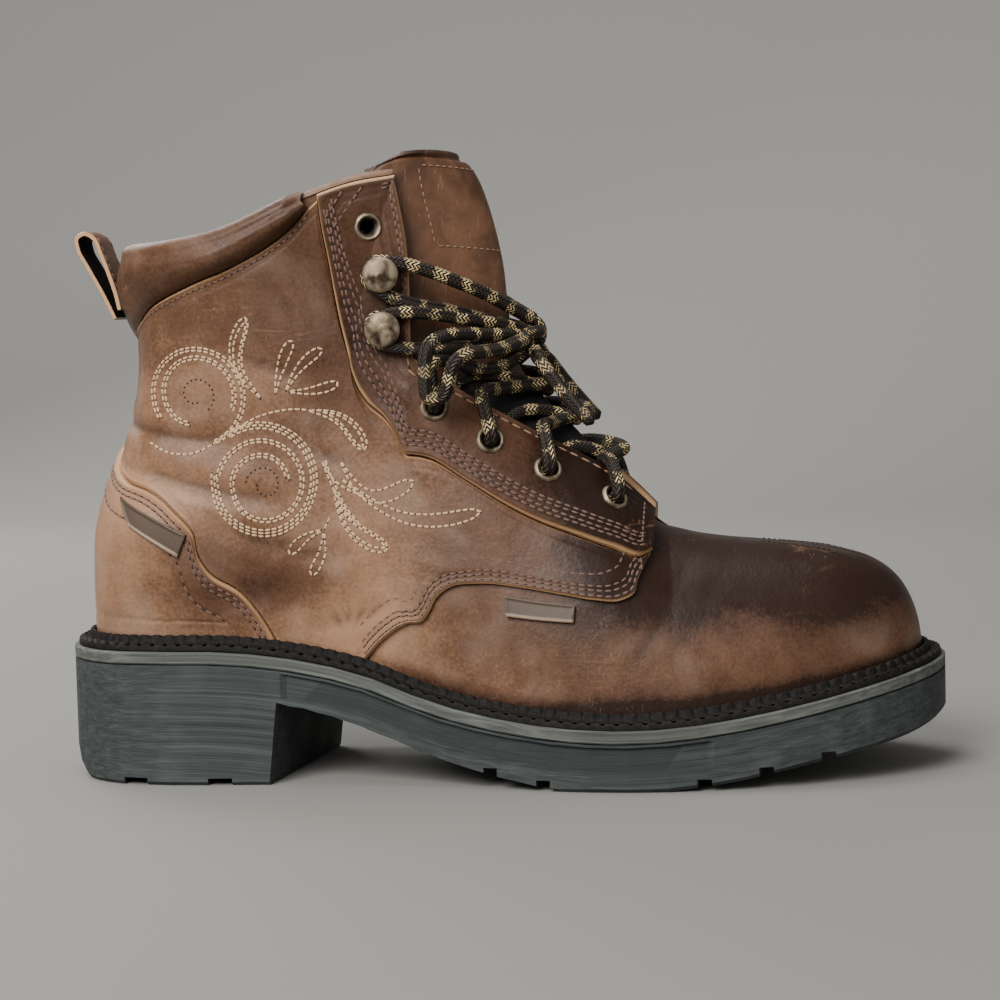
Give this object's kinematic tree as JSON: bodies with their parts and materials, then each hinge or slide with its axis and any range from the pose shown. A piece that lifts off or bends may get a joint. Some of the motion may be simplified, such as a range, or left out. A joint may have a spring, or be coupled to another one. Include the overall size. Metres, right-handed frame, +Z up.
{
  "type": "western work boot",
  "caption": "Right lace-up work boot in brown leather with a padded collar, heel counter, speed hooks, storm welt and a heeled rubber sole.",
  "frame": {"origin": "on the floor, at the middle of the heel's rest face", "axes": "+X towards the toe, +Y towards the inner side of the foot, +Z up"},
  "size_m": [0.2901, 0.1061, 0.2036],
  "materials": {
    "leather": "oiled, worn",
    "leather_dark": "oiled",
    "lining": "woven",
    "rubber": "dusty",
    "rubber_strip": "dusty",
    "welt": "ribbed",
    "metal": "antique",
    "lace": "braided"
  },
  "bodies": {
    "root": {"outsole": "rubber", "midsole": "rubber_strip", "welt": "welt", "insole": "lining", "upper": "leather", "quarter_outer": "leather", "quarter_inner": "leather", "counter": "leather", "collar": "leather", "eyestay_outer": "leather_dark", "eyestay_inner": "leather_dark", "tongue": "leather", "pull_loop": "leather_dark", "tag_heel": "leather_dark", "tag_vamp": "leather_dark", "eyelet_outer_1": "metal", "eyelet_outer_2": "metal", "eyelet_outer_3": "metal", "eyelet_outer_4": "metal", "eyelet_outer_5": "metal", "eyelet_inner_1": "metal", "eyelet_inner_2": "metal", "eyelet_inner_3": "metal", "eyelet_inner_4": "metal", "eyelet_inner_5": "metal", "hook_outer_1": "metal", "hook_outer_2": "metal", "hook_inner_1": "metal", "hook_inner_2": "metal", "lace_cross_1": "lace", "lace_cross_2": "lace", "lace_cross_3": "lace", "lace_cross_4": "lace", "lace_knot": "lace", "lace_loop_outer": "lace", "lace_loop_inner": "lace", "lace_end_outer": "lace", "lace_end_inner": "lace"}
  },
  "joints": []
}
